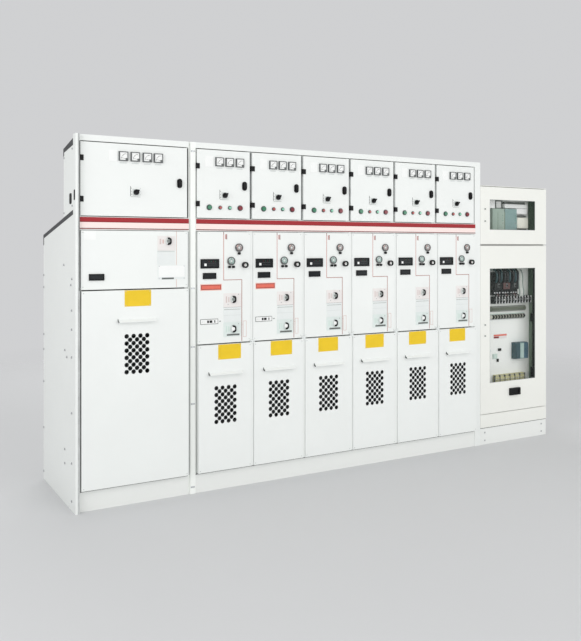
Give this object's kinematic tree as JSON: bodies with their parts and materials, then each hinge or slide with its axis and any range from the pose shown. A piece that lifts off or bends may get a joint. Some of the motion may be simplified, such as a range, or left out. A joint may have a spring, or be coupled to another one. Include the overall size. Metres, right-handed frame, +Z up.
{
  "type": "ring main unit",
  "caption": "Floor-standing medium-voltage switchgear line-up: wide metering cabinet, row of like ring main units with hinged low-voltage doors, and a glazed supply cabinet.",
  "frame": {"origin": "on the floor at the middle of the length and of the body's depth", "axes": "+X along the line-up to the supply cabinet, -Y towards the front, +Z up"},
  "size_m": [4.188, 0.919, 2.38],
  "materials": {
    "cabinet_white": "semi-gloss powder coat",
    "supply_white": "fine-texture powder coat",
    "galvanised": "galvanised sheet",
    "tank_steel": "plain sheet",
    "black_plastic": "moulded",
    "instrument_black": "moulded",
    "grey_plate": "satin",
    "port_steel": "machined",
    "window_glass": "clear"
  },
  "bodies": {
    "line_up": {"plinth_long_rails": "cabinet_white", "plinth_cross_rails": "cabinet_white", "front_posts": "cabinet_white", "end_panels": "cabinet_white", "edge_trims": "black_plastic", "side_walls": "galvanised", "front_stiles": "galvanised", "back_panels": "cabinet_white", "body_roofs": "cabinet_white", "switch_tanks": "tank_steel", "mechanism_panels": "cabinet_white", "cable_covers": "cabinet_white", "cover_lips": "cabinet_white", "busbar_band": "cabinet_white", "header_rails": "cabinet_white", "lv_floors": "galvanised", "lv_partitions": "galvanised", "lv_backs": "galvanised", "lv_roofs": "cabinet_white", "hinge_brackets": "black_plastic", "displays": "black_plastic", "operating_plates": "grey_plate", "operating_ports": "port_steel", "position_knobs": "black_plastic", "supply_walls": "supply_white", "supply_back": "supply_white", "supply_roof": "supply_white", "supply_shelf": "supply_white", "supply_bottom_panel": "supply_white", "supply_rails": "galvanised", "supply_mounting_plates": "supply_white", "supply_devices": "black_plastic"},
    "metering_door": {"metering_lv_door": "cabinet_white", "metering_lv_instruments": "instrument_black"},
    "unit_1_door": {"unit_1_lv_door": "cabinet_white", "unit_1_lv_instruments": "instrument_black"},
    "unit_2_door": {"unit_2_lv_door": "cabinet_white", "unit_2_lv_instruments": "instrument_black"},
    "unit_3_door": {"unit_3_lv_door": "cabinet_white", "unit_3_lv_instruments": "instrument_black"},
    "unit_4_door": {"unit_4_lv_door": "cabinet_white", "unit_4_lv_instruments": "instrument_black"},
    "unit_5_door": {"unit_5_lv_door": "cabinet_white", "unit_5_lv_instruments": "instrument_black"},
    "unit_6_door": {"unit_6_lv_door": "cabinet_white", "unit_6_lv_instruments": "instrument_black"},
    "supply_upper": {"supply_upper_door": "supply_white", "supply_upper_glass": "window_glass", "supply_upper_fittings": "black_plastic"},
    "supply_lower": {"supply_lower_door": "supply_white", "supply_lower_glass": "window_glass", "supply_lower_fittings": "black_plastic"}
  },
  "joints": [
    {"name": "metering_door_hinge", "type": "hinge", "parent": "line_up", "child": "metering_door", "pos_m": [-2.058, -0.436, 2.0925], "axis": [0, 0, -1], "range_deg": [0, 100]},
    {"name": "unit_1_door_hinge", "type": "hinge", "parent": "line_up", "child": "unit_1_door", "pos_m": [-1.268, -0.436, 2.0925], "axis": [0, 0, -1], "range_deg": [0, 100]},
    {"name": "unit_2_door_hinge", "type": "hinge", "parent": "line_up", "child": "unit_2_door", "pos_m": [-0.848, -0.436, 2.0925], "axis": [0, 0, -1], "range_deg": [0, 100]},
    {"name": "unit_3_door_hinge", "type": "hinge", "parent": "line_up", "child": "unit_3_door", "pos_m": [-0.428, -0.436, 2.0925], "axis": [0, 0, -1], "range_deg": [0, 100]},
    {"name": "unit_4_door_hinge", "type": "hinge", "parent": "line_up", "child": "unit_4_door", "pos_m": [-0.008, -0.436, 2.0925], "axis": [0, 0, -1], "range_deg": [0, 100]},
    {"name": "unit_5_door_hinge", "type": "hinge", "parent": "line_up", "child": "unit_5_door", "pos_m": [0.412, -0.436, 2.0925], "axis": [0, 0, -1], "range_deg": [0, 100]},
    {"name": "unit_6_door_hinge", "type": "hinge", "parent": "line_up", "child": "unit_6_door", "pos_m": [0.832, -0.436, 2.0925], "axis": [0, 0, -1], "range_deg": [0, 100]},
    {"name": "supply_upper_hinge", "type": "hinge", "parent": "line_up", "child": "supply_upper", "pos_m": [2.08, -0.418, 1.938], "axis": [0, 0, 1], "range_deg": [0, 110]},
    {"name": "supply_lower_hinge", "type": "hinge", "parent": "line_up", "child": "supply_lower", "pos_m": [2.08, -0.418, 0.9685], "axis": [0, 0, 1], "range_deg": [0, 110]}
  ]
}
